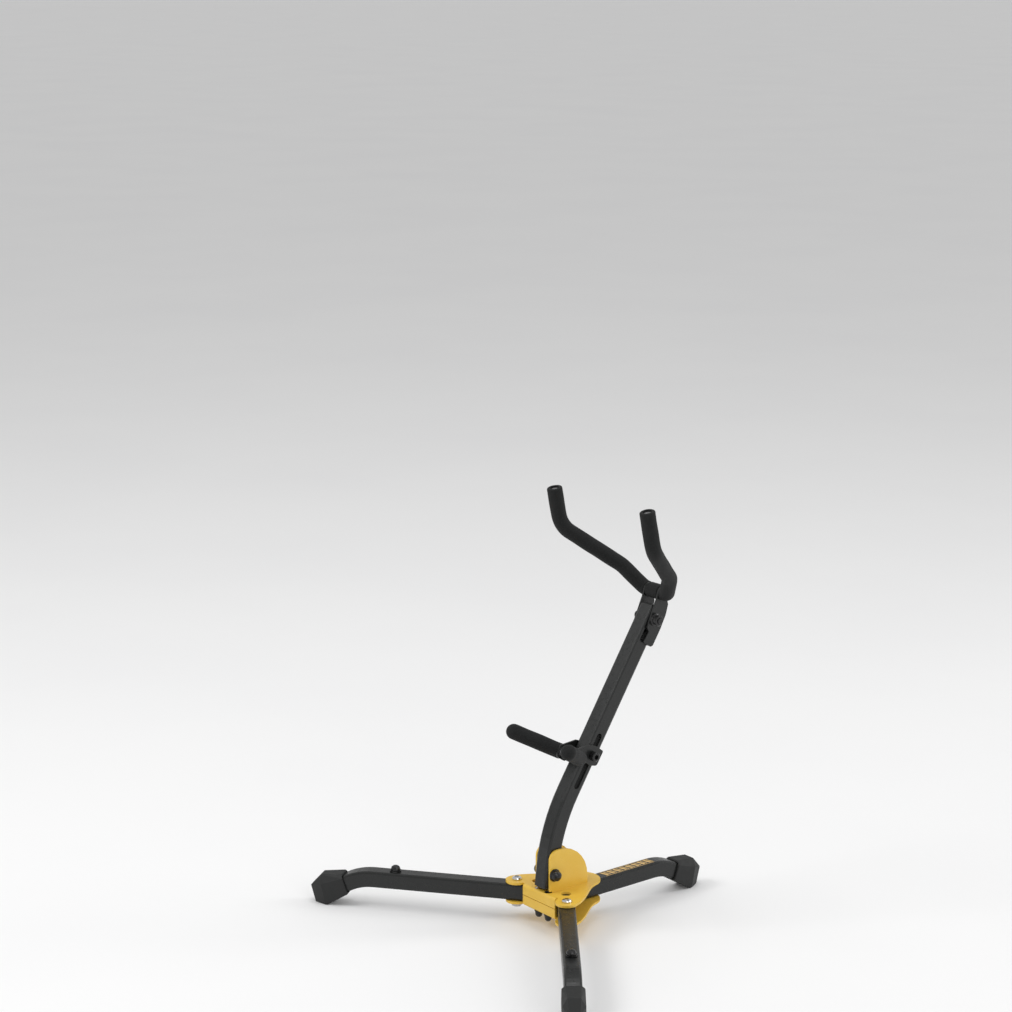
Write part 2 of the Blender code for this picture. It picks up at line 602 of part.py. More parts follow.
def make_legs(root, black, rubber, steel):
    hinges = {}
    for name, heading in (("right", LEG_DIRECTION), ("left", math.pi - LEG_DIRECTION)):
        side = 1 if name == "right" else -1
        hinge = empty("leg_hinge_" + name, root, (side * LOBE_X, LOBE_Y, LEG_Z), (0, 0, heading))
        make_front_leg(name, hinge, (black, rubber, steel))
        hinges[name] = hinge
    rear = empty("rear_leg_frame", root, (0, REAR_LEG_ORIGIN, LEG_Z), (0, 0, math.pi / 2))
    start = REAR_LEG_START - REAR_LEG_ORIGIN
    tube = leg_tube("leg_tube_rear", rear, black, start)
    cuts = bmesh.new()
    for y in REAR_SCREWS:
        hole(cuts, REAR_SCREW[0] + SLIP, -HALF - MM, HALF + MM, "Z", (y - REAR_LEG_ORIGIN, 0, 0))
    tool(tube, "holes", cuts, "DIFFERENCE")
    foot_cap("foot_cap_rear", rear, rubber)
    return hinges


# ---------------------------------------------------------------- mast
def mast_point(along):
    """Point on the mast's upper straight, measured from its knee, in the mast's frame."""
    low = Vector((0, math.sin(MAST_LEAN_LOW), math.cos(MAST_LEAN_LOW)))
    top = Vector((0, math.sin(MAST_LEAN_TOP), math.cos(MAST_LEAN_TOP)))
    return low * MAST_KNEE + top * along


def upper_frame(along):
    """Matrix of a frame on the upper straight: Z along the mast, Y rearward."""
    return Matrix.Translation(mast_point(along)) @ Matrix.Rotation(-MAST_LEAN_TOP, 4, "X")


def make_mast(hinge, root, black, plastic, steel):
    foot = -Vector((0, math.sin(MAST_LEAN_LOW), math.cos(MAST_LEAN_LOW))) * MAST_BELOW
    end = YOKE_AT + MAST_ABOVE
    path = fillet([foot, mast_point(0), mast_point(end)], [0, MAST_BEND, 0], 8, closed=False)
    bm = hollow(bmesh.new(), path, (1, 0, 0), square(HALF, TUBE_CORNER),
                square(HALF - TUBE_WALL, TUBE_CORNER - TUBE_WALL + 0.2 * MM))
    mast = place("mast_tube", bm, hinge, black)
    bush_radius = MAST_BOLT[0] + SLIP + BUSH_WALL
    tool(mast, "pivot", hole(bmesh.new(), bush_radius + SLIP, -TUBE, TUBE, "X"), "DIFFERENCE")

    cuts = bmesh.new()
    width = CLAMP_BOLT[0] + 1.3 * SLIP
    low, high = -SLOT_BELOW + width, SLOT_ABOVE - width
    slot = arc((0, high), width, 0, 180, 8) + arc((0, low), width, 180, 360, 8)
    prism(cuts, slot, -TUBE, TUBE, "X")
    tool(mast, "slot", cuts, "DIFFERENCE", upper_frame(CRADLE_AT))

    cuts = hole(bmesh.new(), YOKE_BOLT[0] + 2 * SLIP + BUSH_WALL, -TUBE, TUBE, "X")
    window = [(WINDOW_FRONT, WINDOW_BOTTOM), (WINDOW_REAR, WINDOW_BOTTOM), (WINDOW_REAR, WINDOW_TOP),
              (WINDOW_FRONT, WINDOW_TOP)]
    prism(cuts, fillet(window, [MM] * 4, 2), -TUBE, TUBE, "X")
    tool(mast, "top_cuts", cuts, "DIFFERENCE", upper_frame(YOKE_AT))

    inside = HALF - TUBE_WALL - SLIP
    head = HALF - 0.8 * MM
    levels = [(MAST_ABOVE - 4.0 * MM, inside), (MAST_ABOVE + CLEAR, inside), (MAST_ABOVE + CLEAR, head),
              (MAST_ABOVE + 1.2 * MM, head - 0.3 * MM), (MAST_ABOVE + 2.1 * MM, head - 2.6 * MM)]
    rings = [[(x, y, z) for x, y in square(half, MM)] for z, half in levels]
    place("mast_top_plug", loft(bmesh.new(), rings), hinge, plastic, upper_frame(YOKE_AT))

    centre = (0, MAST_PIVOT_Y, MAST_PIVOT_Z)
    sleeve = bush(bmesh.new(), MAST_BOLT[0] + SLIP, bush_radius, CLEAR - EAR_INNER, EAR_INNER - CLEAR,
                  16, "X", centre)
    place("mast_pivot_bush", sleeve, root, steel)
    nut_end = EAR_OUTER + CLEAR + 3.6 * MM
    bolt = screw(bmesh.new(), *MAST_BOLT, -EAR_OUTER - CLEAR, nut_end, 18, "X", centre)
    place("mast_pivot_bolt", bolt, root, black)
    nut = dome_nut(bmesh.new(), MAST_BOLT[0], 4.9 * MM, EAR_OUTER + CLEAR, 6.6 * MM, 18, "X", centre)
    place("mast_pivot_nut", nut, root, black)


# ---------------------------------------------------------------- brackets and padded rods
def half_rod(base, straight, corners, bends, start):
    """Centre line of one arm from x = start on its cross bar, through its corners, to its tip."""
    points = [(start, base[0], base[1]), (straight, base[0], base[1])] + list(corners)
    return fillet(points, [0, ROD_TURN] + bends + [0], 4, closed=False)


def shorten(path, amount):
    """The path with its last straight made shorter."""
    last, before = Vector(path[-1]), Vector(path[-2])
    return path[:-1] + [last + (before - last).normalized() * amount]


def mirrored(path):
    return [Vector((-p[0], p[1], p[2])) for p in path]


def rod(name, parent, finish, arm):
    """Bent rod: one arm, the cross bar and the other arm."""
    path = mirrored(arm)[::-1] + [Vector(p) for p in arm]
    rings = rings_along(path, (0, 0, 1), circle(ROD_RADIUS, ROD_SIDES))
    return place(name, loft(bmesh.new(), rings), parent, finish)


def open_pad(name, parent, finish, path):
    """Foam sleeve, open at both ends."""
    bm = hollow(bmesh.new(), path, (0, 0, 1), circle(PAD_RADIUS, PAD_SIDES), circle(PAD_BORE, PAD_SIDES))
    return place(name, bm, parent, finish)


def ball_pad(name, parent, finish, path):
    """Foam sleeve closed by a ball end."""
    tip = Vector(path[-1])
    ahead = (tip - Vector(path[-2])).normalized()
    shell = shorten(path, PAD_RADIUS)
    grow = [1.0] * len(shell)
    centre = shell[-1]
    for i in range(1, 5):
        angle = math.radians(82) * i / 4
        shell.append(centre + ahead * (PAD_RADIUS * math.sin(angle)))
        grow.append(math.cos(angle))
    bore = shorten(path, CRADLE_ROD_RECESS - CLEAR)
    rings = rings_along(bore, (0, 0, 1), circle(PAD_BORE, PAD_SIDES))[::-1]
    rings += rings_along(shell, (0, 0, 1), circle(PAD_RADIUS, PAD_SIDES), grow)
    return place(name, loft(bmesh.new(), rings), parent, finish)


def channel(name, parent, finish, outline, web_face, web_top):
    """Folded channel: side plates of the outline's shape, joined by a web behind web_face."""
    bracket = place(name, prism(bmesh.new(), outline, -BRACKET_OUTER, BRACKET_OUTER, "X"), parent, finish)
    inside = [(-FAR, -FAR), (web_face, -FAR), (web_face, web_top), (FAR, web_top), (FAR, FAR), (-FAR, FAR)]
    tool(bracket, "inside", prism(bmesh.new(), inside, -BRACKET_INNER, BRACKET_INNER, "X"), "DIFFERENCE")
    return bracket


def make_cradle(slide, black, foam, steel):
    base_y, base_z = CRADLE_BASE
    nose = ROD_RADIUS + SLIP + NOSE_WALL
    front = [(base_y - nose, base_z + 4.0 * MM, 3.0 * MM), (base_y - nose + MM, base_z - nose, 4.0 * MM),
             (base_y + nose, base_z - nose, 3.0 * MM)]
    corners = list(CRADLE_PLATE_REAR) + front + [CRADLE_PLATE_THROAT]
    outline = fillet([c[:2] for c in corners], [c[2] for c in corners], 4)
    bracket = channel("cradle_bracket", slide, black, outline, HALF + CRADLE_WEB_GAP, FAR)
    cuts = hole(bmesh.new(), CLAMP_BOLT[0] + SLIP, -TUBE, TUBE, "X")
    hole(cuts, ROD_RADIUS + SLIP, -TUBE, TUBE, "X", (0, base_y, base_z))
    tool(bracket, "holes", cuts, "DIFFERENCE")
    soften(bracket, EDGE)

    seat = BRACKET_OUTER + CLEAR
    shaft, head, height = CLAMP_BOLT
    profile = [(shaft - 0.4 * MM, -seat - 4.8 * MM), (shaft, -seat - 4.4 * MM), (shaft, seat), (head, seat),
               (head, seat + height - 0.5 * MM), (head - 0.5 * MM, seat + height)]
    bolt = place("cradle_clamp_bolt", turned(bmesh.new(), profile, 16, "X"), slide, black)
    key = turned(bmesh.new(), [(SOCKET_FLATS / 2 / math.cos(math.pi / 6), seat + height - 2.5 * MM),
                               (SOCKET_FLATS / 2 / math.cos(math.pi / 6), seat + height + MM)], 6, "X")
    tool(bolt, "socket", key, "DIFFERENCE")
    hex_nut("cradle_clamp_nut", slide, black, shaft, 8.0 * MM, -seat - 4.0 * MM, -seat, "X")

    start = BRACKET_OUTER + 0.5 * MM
    arm = half_rod(CRADLE_BASE, CRADLE_STRAIGHT, [CRADLE_TIP], [], start)
    rod("cradle_rod", slide, steel, shorten(arm, CRADLE_ROD_RECESS))
    ball_pad("cradle_pad_right", slide, foam, arm)
    ball_pad("cradle_pad_left", slide, foam, mirrored(arm))


def make_yoke(hinge, black, foam, steel):
    base_y, base_z = YOKE_BASE
    nose = ROD_RADIUS + SLIP + NOSE_WALL
    round_end = arc((base_y, base_z), nose, -15, 200, 8)
    outline = round_end + [corner[:2] for corner in YOKE_PLATE]
    radii = [0] * len(round_end) + [corner[2] for corner in YOKE_PLATE]
    rounded = fillet(outline, radii, 3)
    bracket = channel("yoke_bracket", hinge, black, rounded, HALF + YOKE_WEB_GAP, YOKE_WEB_TOP)
    cuts = hole(bmesh.new(), YOKE_BOLT[0] + SLIP, -TUBE, TUBE, "X")
    hole(cuts, ROD_RADIUS + SLIP, -TUBE, TUBE, "X", (0, base_y, base_z))
    tool(bracket, "holes", cuts, "DIFFERENCE")
    soften(bracket, EDGE)

    seat = BRACKET_OUTER + CLEAR
    place("yoke_bolt", screw(bmesh.new(), *YOKE_BOLT, -seat, seat + 7.4 * MM, 16, "X"), hinge, black)
    bore = YOKE_BOLT[0] + SLIP
    profile = [(bore, seat)] + [(r, seat + h) for r, h in YOKE_NUT] + [(bore, seat + YOKE_NUT[-1][1])]
    place("yoke_nut", turned(bmesh.new(), profile, 16, "X", closed=True), hinge, black)
    sleeve = bush(bmesh.new(), bore, bore + BUSH_WALL, CLEAR - BRACKET_INNER, BRACKET_INNER - CLEAR, 16, "X")
    place("yoke_bush", sleeve, hinge, steel)

    start = BRACKET_OUTER + 0.5 * MM
    bends = [YOKE_ELBOW_BEND, YOKE_SHOULDER_BEND]
    arm = half_rod(YOKE_BASE, YOKE_STRAIGHT, [YOKE_ELBOW, YOKE_SHOULDER, YOKE_TIP], bends, start)
    rod("yoke_rod", hinge, steel, shorten(arm, YOKE_ROD_RECESS))
    open_pad("yoke_pad_right", hinge, foam, arm)
    open_pad("yoke_pad_left", hinge, foam, mirrored(arm))
    inner = BRACKET_INNER - CLEAR
    open_pad("yoke_pad_middle", hinge, foam, [(-inner, base_y, base_z), (inner, base_y, base_z)])


# ---------------------------------------------------------------- the stand
def centre_on_floor(root):
    """Move the stand so that the origin is on the floor under the middle of its box."""
    bpy.context.view_layer.update()
    graph = bpy.context.evaluated_depsgraph_get()
    low, high = Vector((1e9,) * 3), Vector((-1e9,) * 3)
    for obj in bpy.data.objects:
        if obj.type == "MESH" and not obj.hide_render:
            for vertex in obj.evaluated_get(graph).data.vertices:
                spot = obj.matrix_world @ vertex.co
                low = Vector(map(min, low, spot))
                high = Vector(map(max, high, spot))
    root.location = (-(low.x + high.x) / 2, -(low.y + high.y) / 2, -low.z)
    bpy.context.view_layer.update()


def main():
    clear_scene()
    yellow = material("yellow_powder_coat", (0.73, 0.46, 0.045), 0.45)
    black = material("black_powder_coat", (0.028, 0.029, 0.028), 0.42)
    rubber = material("foot_rubber", (0.034, 0.036, 0.035), 0.75)
    foam = material("black_foam", (0.024, 0.025, 0.025), 0.9)
    plastic = material("plug_plastic", (0.02, 0.02, 0.02), 0.6)
    chrome = material("chrome", (0.75, 0.75, 0.76), 0.15, 1.0)
    steel = material("zinc_steel", (0.55, 0.55, 0.56), 0.35, 1.0)

    root = empty("stand")
    make_hub(root, yellow)
    make_hub_fasteners(root, chrome, black, steel)
    make_legs(root, black, rubber, steel)
    mast_hinge = empty("mast_hinge", root, (0, MAST_PIVOT_Y, MAST_PIVOT_Z))
    make_mast(mast_hinge, root, black, plastic, steel)
    lean = (-MAST_LEAN_TOP, 0, 0)
    slide = empty("cradle_slide", mast_hinge, mast_point(CRADLE_AT), lean)
    make_cradle(slide, black, foam, steel)
    yoke_hinge = empty("yoke_hinge", mast_hinge, mast_point(YOKE_AT), lean)
    make_yoke(yoke_hinge, black, foam, steel)
    centre_on_floor(root)


main()
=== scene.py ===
"""Looks of the folding saxophone stand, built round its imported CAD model: foam sleeves, rods, detent springs,
the print on the rear leg, every material, the floor, the light and the camera."""
import json
import math

import bmesh
import bpy
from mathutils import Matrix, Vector


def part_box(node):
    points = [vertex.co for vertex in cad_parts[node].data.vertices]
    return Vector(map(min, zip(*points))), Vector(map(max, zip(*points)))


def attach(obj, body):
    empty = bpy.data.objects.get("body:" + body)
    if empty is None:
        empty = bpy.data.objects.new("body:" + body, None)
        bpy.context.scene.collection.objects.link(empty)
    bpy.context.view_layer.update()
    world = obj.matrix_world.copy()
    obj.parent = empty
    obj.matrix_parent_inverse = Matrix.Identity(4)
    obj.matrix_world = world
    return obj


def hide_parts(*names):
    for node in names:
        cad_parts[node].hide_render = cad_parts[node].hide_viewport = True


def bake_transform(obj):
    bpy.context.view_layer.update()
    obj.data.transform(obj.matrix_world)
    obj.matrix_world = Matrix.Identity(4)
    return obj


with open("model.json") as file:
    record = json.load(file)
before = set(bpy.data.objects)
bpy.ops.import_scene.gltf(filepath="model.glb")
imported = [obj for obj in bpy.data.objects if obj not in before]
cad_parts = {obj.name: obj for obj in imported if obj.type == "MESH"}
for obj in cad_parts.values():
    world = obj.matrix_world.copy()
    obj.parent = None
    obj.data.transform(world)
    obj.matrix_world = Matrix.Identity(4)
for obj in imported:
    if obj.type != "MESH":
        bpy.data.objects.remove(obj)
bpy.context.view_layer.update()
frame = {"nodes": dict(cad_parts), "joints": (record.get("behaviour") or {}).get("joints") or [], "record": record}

MM = 0.001

# ---------------------------------------------------------------- where things are
joints = {joint["name"]: joint for joint in frame["joints"]}
ALONG = Vector(joints["cradle_slide"]["axis"]).normalized()   # up the mast's straight part
REARWARD = Vector((1, 0, 0)).cross(ALONG) * -1.0              # square to it, towards the rear
YOKE = Vector(joints["yoke_fold"]["pos_m"])
bolt_low, bolt_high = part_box("cradle_clamp_bolt")
CRADLE = (bolt_low + bolt_high) / 2
CRADLE.x = 0.0

# the padded rods, as the CAD model has them: x, rearward and along, from each bracket's bolt
ROD_RADIUS = 4.0 * MM
PAD_RADIUS = 7.0 * MM
ROD_TURN = 8.0 * MM
BRACKET_HALF = 9.8 * MM
YOKE_BASE = (-3.5 * MM, 24.3 * MM)
YOKE_STRAIGHT = 14.5 * MM
YOKE_CORNERS = ((31.5 * MM, -24.5 * MM, 34.0 * MM), (61.0 * MM, -83.5 * MM, 40.5 * MM),
                (61.0 * MM, -108.8 * MM, 66.5 * MM))
YOKE_BENDS = (22.0 * MM, 25.0 * MM)
CRADLE_BASE = (-17.2 * MM, -7.7 * MM)
CRADLE_STRAIGHT = 15.0 * MM
CRADLE_TIP = (40.6 * MM, -59.5 * MM, -10.0 * MM)
YOKE_ROD_RECESS = 1.5 * MM     # the rod's ends lie this deep in the open sleeves
CRADLE_ROD_RECESS = 8.5 * MM   # and this deep behind the tips of the ball ends
SLEEVE_GAP = 0.5 * MM          # bracket to sleeve

# the finer sleeves, rods and springs
RING = 40                      # sides of a sleeve
SLEEVE_STEP = 1.6 * MM
SLEEVE_BORE = ROD_RADIUS + 0.05 * MM
SLEEVE_SKIN = PAD_RADIUS - 0.15 * MM
SLEEVE_WANDER = 0.09 * MM
RIM = 1.1 * MM                 # rounding of a sleeve's open end
ROD_STEP = 1.8 * MM
ROD_CHAMFER = 0.6 * MM
ROD_SIDES = 28
BALL_STEPS = 12


# ---------------------------------------------------------------- material helpers
class Shader:
    """A Principled material whose colour, roughness and relief come from procedural nodes."""

    def __init__(self, name, colour, roughness, metallic=0.0):
        self.material = bpy.data.materials.new(name)
        self.material.use_nodes = True
        self.nodes = self.material.node_tree.nodes
        self.links = self.material.node_tree.links
        self.body = self.nodes["Principled BSDF"]
        self.body.inputs["Base Color"].default_value = (*colour, 1.0)
        self.body.inputs["Roughness"].default_value = roughness
        self.body.inputs["Metallic"].default_value = metallic
        self.colour = colour
        self.roughness = roughness
        self.place = self.nodes.new("ShaderNodeTexCoord").outputs["Object"]

    def noise(self, size, detail=3.0, stretch=(1, 1, 1)):
        """Noise whose lumps are about size across."""
        mapping = self.nodes.new("ShaderNodeMapping")
        mapping.inputs["Scale"].default_value = [s / size for s in stretch]
        texture = self.nodes.new("ShaderNodeTexNoise")
        texture.inputs["Scale"].default_value = 1.0
        texture.inputs["Detail"].default_value = detail
        self.links.new(self.place, mapping.inputs["Vector"])
        self.links.new(mapping.outputs["Vector"], texture.inputs["Vector"])
        return texture.outputs["Fac"]

    def cells(self, size, feature="F1"):
        """Distance in a Voronoi pattern whose cells are about size across."""
        texture = self.nodes.new("ShaderNodeTexVoronoi")
        texture.feature = feature
        texture.inputs["Scale"].default_value = 1.0 / size
        self.links.new(self.place, texture.inputs["Vector"])
        return texture.outputs["Distance"]

    def spread(self, value, low, high, to_low, to_high):
        """Map a value from one range to another."""
        node = self.nodes.new("ShaderNodeMapRange")
        for name, number in (("From Min", low), ("From Max", high), ("To Min", to_low), ("To Max", to_high)):
            node.inputs[name].default_value = number
        self.links.new(value, node.inputs["Value"])
        return node.outputs["Result"]

    def mixed(self, share, first, second):
        """Colour between two, each a colour or a socket."""
        node = self.nodes.new("ShaderNodeMix")
        node.data_type = "RGBA"
        self.links.new(share, node.inputs["Factor"])
        for socket, value in ((node.inputs["A"], first), (node.inputs["B"], second)):
            self.join(socket, value)
        return node.outputs["Result"]

    def join(self, socket, value):
        if isinstance(value, bpy.types.NodeSocket):
            self.links.new(value, socket)
        else:
            socket.default_value = (*value, 1.0)

    def paint(self, *layers):
        """Lay colours over the base; each layer is (share, colour)."""
        colour = self.colour
        for share, over in layers:
            colour = self.mixed(share, colour, over)
        self.links.new(colour, self.body.inputs["Base Color"])

    def gloss(self, value, change):
        """Let roughness wander by change either way."""
        wander = self.spread(value, 0.3, 0.7, self.roughness - change, self.roughness + change)
        self.links.new(wander, self.body.inputs["Roughness"])

    def relief(self, *layers):
        """Stack bumps; each layer is (height, depth)."""
        last = None
        for height, depth in layers:
            bump = self.nodes.new("ShaderNodeBump")
            bump.inputs["Strength"].default_value = 1.0
            bump.inputs["Distance"].default_value = depth
            self.links.new(height, bump.inputs["Height"])
            if last is not None:
                self.links.new(last, bump.inputs["Normal"])
            last = bump.outputs["Normal"]
        self.links.new(last, self.body.inputs["Normal"])


def shade(colour, factor):
    return tuple(min(1.0, c * factor) for c in colour)


def yellow_powder():
    yellow = (0.80, 0.50, 0.052)
    s = Shader("yellow_powder_coat", yellow, 0.42)
    grain = s.noise(0.45 * MM, 2.0)
    cloud = s.noise(14 * MM, 3.0)
    speck = s.noise(0.9 * MM, 1.0)
    s.paint((s.spread(grain, 0.35, 0.65, 0.0, 0.5), shade(yellow, 0.84)),
            (s.spread(cloud, 0.4, 0.7, 0.0, 0.35), (0.86, 0.58, 0.10)),
            (s.spread(speck, 0.68, 0.78, 0.0, 0.5), (0.52, 0.29, 0.02)))
    s.gloss(s.noise(3 * MM, 3.0), 0.07)
    s.relief((s.noise(1.6 * MM, 2.0), 0.05 * MM), (grain, 0.035 * MM))
    s.body.inputs["Coat Weight"].default_value = 0.12
    s.body.inputs["Coat Roughness"].default_value = 0.25
    return s.material


def black_powder():
    black = (0.0105, 0.0112, 0.0108)
    s = Shader("black_powder_coat", black, 0.31)
    s.body.inputs["Specular IOR Level"].default_value = 0.42
    grain = s.noise(0.5 * MM, 2.0)
    cloud = s.noise(18 * MM, 3.0)
    s.paint((s.spread(grain, 0.35, 0.65, 0.0, 0.6), shade(black, 1.5)),
            (s.spread(cloud, 0.45, 0.7, 0.0, 0.4), shade(black, 0.75)))
    s.gloss(s.noise(4 * MM, 3.0), 0.07)
    s.relief((s.noise(1.4 * MM, 2.0), 0.04 * MM), (grain, 0.03 * MM))
    return s.material


def black_oxide():
    black = (0.010, 0.010, 0.0105)
    s = Shader("black_fastener", black, 0.2, 0.2)
    cloud = s.noise(1.5 * MM, 4.0)
    s.paint((s.spread(cloud, 0.4, 0.7, 0.0, 0.7), (0.02, 0.0195, 0.019)))
    s.gloss(cloud, 0.08)
    s.relief((s.noise(0.3 * MM, 2.0), 0.01 * MM),)
    return s.material


def bright_plate():
    silver = (0.72, 0.72, 0.73)
    s = Shader("chrome", silver, 0.13, 1.0)
    cloud = s.noise(1.2 * MM, 4.0)
    s.paint((s.spread(cloud, 0.4, 0.7, 0.0, 0.6), (0.60, 0.60, 0.62)))
    s.gloss(cloud, 0.05)
    s.relief((s.noise(0.5 * MM, 2.0), 0.004 * MM),)
    return s.material


def zinc_plate():
    zinc = (0.56, 0.56, 0.57)
    s = Shader("zinc_steel", zinc, 0.33, 1.0)
    flake = s.cells(0.8 * MM)
    cloud = s.noise(3 * MM, 4.0)
    s.paint((s.spread(cloud, 0.4, 0.7, 0.0, 0.6), (0.44, 0.44, 0.43)))
    s.gloss(flake, 0.08)
    s.relief((s.noise(0.4 * MM, 3.0), 0.008 * MM),)
    return s.material


def moulded_rubber():
    rubber = (0.016, 0.0165, 0.0163)
    s = Shader("foot_rubber", rubber, 0.58)
    s.body.inputs["Specular IOR Level"].default_value = 0.34
    grain = s.noise(0.35 * MM, 3.0)
    cloud = s.noise(6 * MM, 4.0)
    s.paint((s.spread(grain, 0.4, 0.65, 0.0, 0.5), shade(rubber, 1.5)),
            (s.spread(cloud, 0.5, 0.75, 0.0, 0.5), shade(rubber, 1.35)))
    s.gloss(cloud, 0.08)
    s.relief((s.noise(2.5 * MM, 2.0), 0.06 * MM), (grain, 0.05 * MM))
    return s.material


def closed_cell_foam():
    foam = (0.0095, 0.0099, 0.0099)
    s = Shader("black_foam", foam, 0.8)
    s.body.inputs["Specular IOR Level"].default_value = 0.22
    pores = s.cells(0.55 * MM)
    grain = s.noise(0.6 * MM, 4.0)
    cloud = s.noise(9 * MM, 3.0)
    s.paint((s.spread(grain, 0.5, 0.7, 0.0, 0.75), (0.027, 0.028, 0.028)),
            (s.spread(pores, 0.0, 0.18, 0.8, 0.0), (0.003, 0.003, 0.003)),
            (s.spread(cloud, 0.45, 0.7, 0.0, 0.35), (0.016, 0.0165, 0.0165)))
    s.relief((cloud, 0.10 * MM), (pores, 0.10 * MM), (grain, 0.06 * MM))
    s.body.inputs["Sheen Weight"].default_value = 0.03
    s.body.inputs["Sheen Roughness"].default_value = 0.5
    return s.material


def plug_plastic():
    black = (0.009, 0.009, 0.009)
    s = Shader("plug_plastic", black, 0.45)
    grain = s.noise(0.3 * MM, 2.0)
    s.paint((s.spread(grain, 0.4, 0.65, 0.0, 0.5), shade(black, 1.7)))
    s.gloss(s.noise(2 * MM, 2.0), 0.06)
    s.relief((grain, 0.03 * MM),)
    return s.material


def gold_ink():
    gold = (0.85, 0.56, 0.20)
    s = Shader("gold_ink", gold, 0.4, 0.1)
    grain = s.noise(0.5 * MM, 3.0)
    s.paint((s.spread(grain, 0.45, 0.7, 0.0, 0.6), (0.62, 0.39, 0.12)))
    s.gloss(grain, 0.08)
    s.relief((grain, 0.02 * MM),)
    return s.material


def brushed_rod():
    """Plated rod; its sawn ends get the same finish as the rest."""
    steel = (0.50, 0.50, 0.51)
    s = Shader("zinc_rod", steel, 0.38, 0.85)
    grain = s.noise(0.35 * MM, 4.0)
    s.paint((s.spread(grain, 0.4, 0.7, 0.0, 0.7), (0.36, 0.36, 0.365)))
    s.gloss(grain, 0.08)
    s.relief((grain, 0.02 * MM),)
    return s.material


FINISHES = {
    "yellow_powder_coat": yellow_powder(),
    "black_powder_coat": black_powder(),
    "black_fastener": black_oxide(),
    "chrome": bright_plate(),
    "zinc_steel": zinc_plate(),
    "foot_rubber": moulded_rubber(),
    "black_foam": closed_cell_foam(),
    "plug_plastic": plug_plastic(),
}


def finish_cad_nodes():
    """Give every CAD node the material of its slot in the record."""
    for part in frame["record"]["subparts"]:
        node = frame["nodes"][part["node"]]
        finish = FINISHES[part["material_slot"]]
        if not node.material_slots:
            node.data.materials.append(finish)
        for slot in node.material_slots:
            slot.material = finish


# ---------------------------------------------------------------- swept pieces
def rounded(points, radii, steps=10):
    """Points of a polyline whose inner corners are arcs."""
    points = [Vector(p) for p in points]
    path = [points[0]]
    for last, corner, following, radius in zip(points, points[1:], points[2:], radii):
        to_last = (last - corner).normalized()
        to_next = (following - corner).normalized()
        half = math.acos(to_last.dot(to_next)) / 2
        centre = corner + (to_last + to_next).normalized() * (radius / math.sin(half))
        start = corner + to_last * (radius / math.tan(half)) - centre
        end = corner + to_next * (radius / math.tan(half)) - centre
        sweep = math.pi - 2 * half
        for k in range(steps + 1):
            share = k / steps
            mix = start * math.sin((1 - share) * sweep) + end * math.sin(share * sweep)
            path.append(centre + mix / math.sin(sweep))
    path.append(points[-1])
    return path


def evenly(path, step):
    """The same line with points about step apart."""
    lengths = [0.0]
    for a, b in zip(path, path[1:]):
        lengths.append(lengths[-1] + (b - a).length)
    count = max(2, round(lengths[-1] / step))
    result = []
    k = 0
    for i in range(count + 1):
        target = lengths[-1] * i / count
        while k < len(path) - 2 and lengths[k + 1] < target:
            k += 1
        share = (target - lengths[k]) / (lengths[k + 1] - lengths[k])
        result.append(path[k].lerp(path[k + 1], share))
    return result


def carried(path):
    """Frames along a path, carried without twist."""
    side = Vector((0, 0, 1))
    tangent = None
    result = []
    for i, point in enumerate(path):
        fresh = (path[min(i + 1, len(path) - 1)] - path[max(i - 1, 0)]).normalized()
        if tangent is None:
            side = (side - fresh * side.dot(fresh)).normalized()
        else:
            side = tangent.rotation_difference(fresh) @ side
        tangent = fresh
        result.append((point, side, tangent.cross(side), tangent))
    return result


def ring_points(centre, u, v, radius, sides):
    """Points of a circle in the plane of u and v."""
    points = []
    for i in range(sides):
        angle = 2 * math.pi * i / sides
        points.append(centre + (u * math.cos(angle) + v * math.sin(angle)) * radius)
    return points


def skin(bm, rings, first_cap, last_cap):
    """Skin between rings of equally many points, closed at either end if asked."""
    rows = [[bm.verts.new(p) for p in ring] for ring in rings]
    for a, b in zip(rows, rows[1:]):
        for i in range(len(a)):
            k = (i + 1) % len(a)
            bm.faces.new((a[i], a[k], b[k], b[i]))
    if first_cap:
        bm.faces.new(rows[0][::-1])
    if last_cap:
        bm.faces.new(rows[-1])
    return rows


def mesh_piece(name, bm, body, finish):
    bmesh.ops.recalc_face_normals(bm, faces=bm.faces)
    mesh = bpy.data.meshes.new(name)
    bm.to_mesh(mesh)
    bm.free()
    mesh.shade_smooth()
    mesh.set_sharp_from_angle(angle=math.radians(40))
    mesh.materials.append(finish)
    piece = bpy.data.objects.new(name, mesh)
    bpy.context.scene.collection.objects.link(piece)
    if body:
        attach(piece, body)
    return piece


def in_frame(origin, points):
    """Points given as x, rearward and along from a bracket's bolt, as world points."""
    return [origin + Vector((p[0], 0, 0)) + REARWARD * p[1] + ALONG * p[2] for p in points]


def mirrored(points):
    return [Vector((-p.x, p.y, p.z)) for p in points]


def arm_path(origin, base, straight, corners, bends, start):
    points = [(start, base[0], base[1]), (straight, base[0], base[1]), *corners]
    return rounded(in_frame(origin, points), [ROD_TURN, *bends])


def sleeve_radius(angle, along, seed):
    """Foam is never quite round: a slow wander of a tenth of a millimetre or two."""
    wander = math.sin(2 * angle + 90 * along + seed) * math.sin(170 * along + 2 * seed)
    wander += 0.6 * math.sin(3 * angle - 240 * along + 2.3 * seed)
    return SLEEVE_SKIN + SLEEVE_WANDER * wander


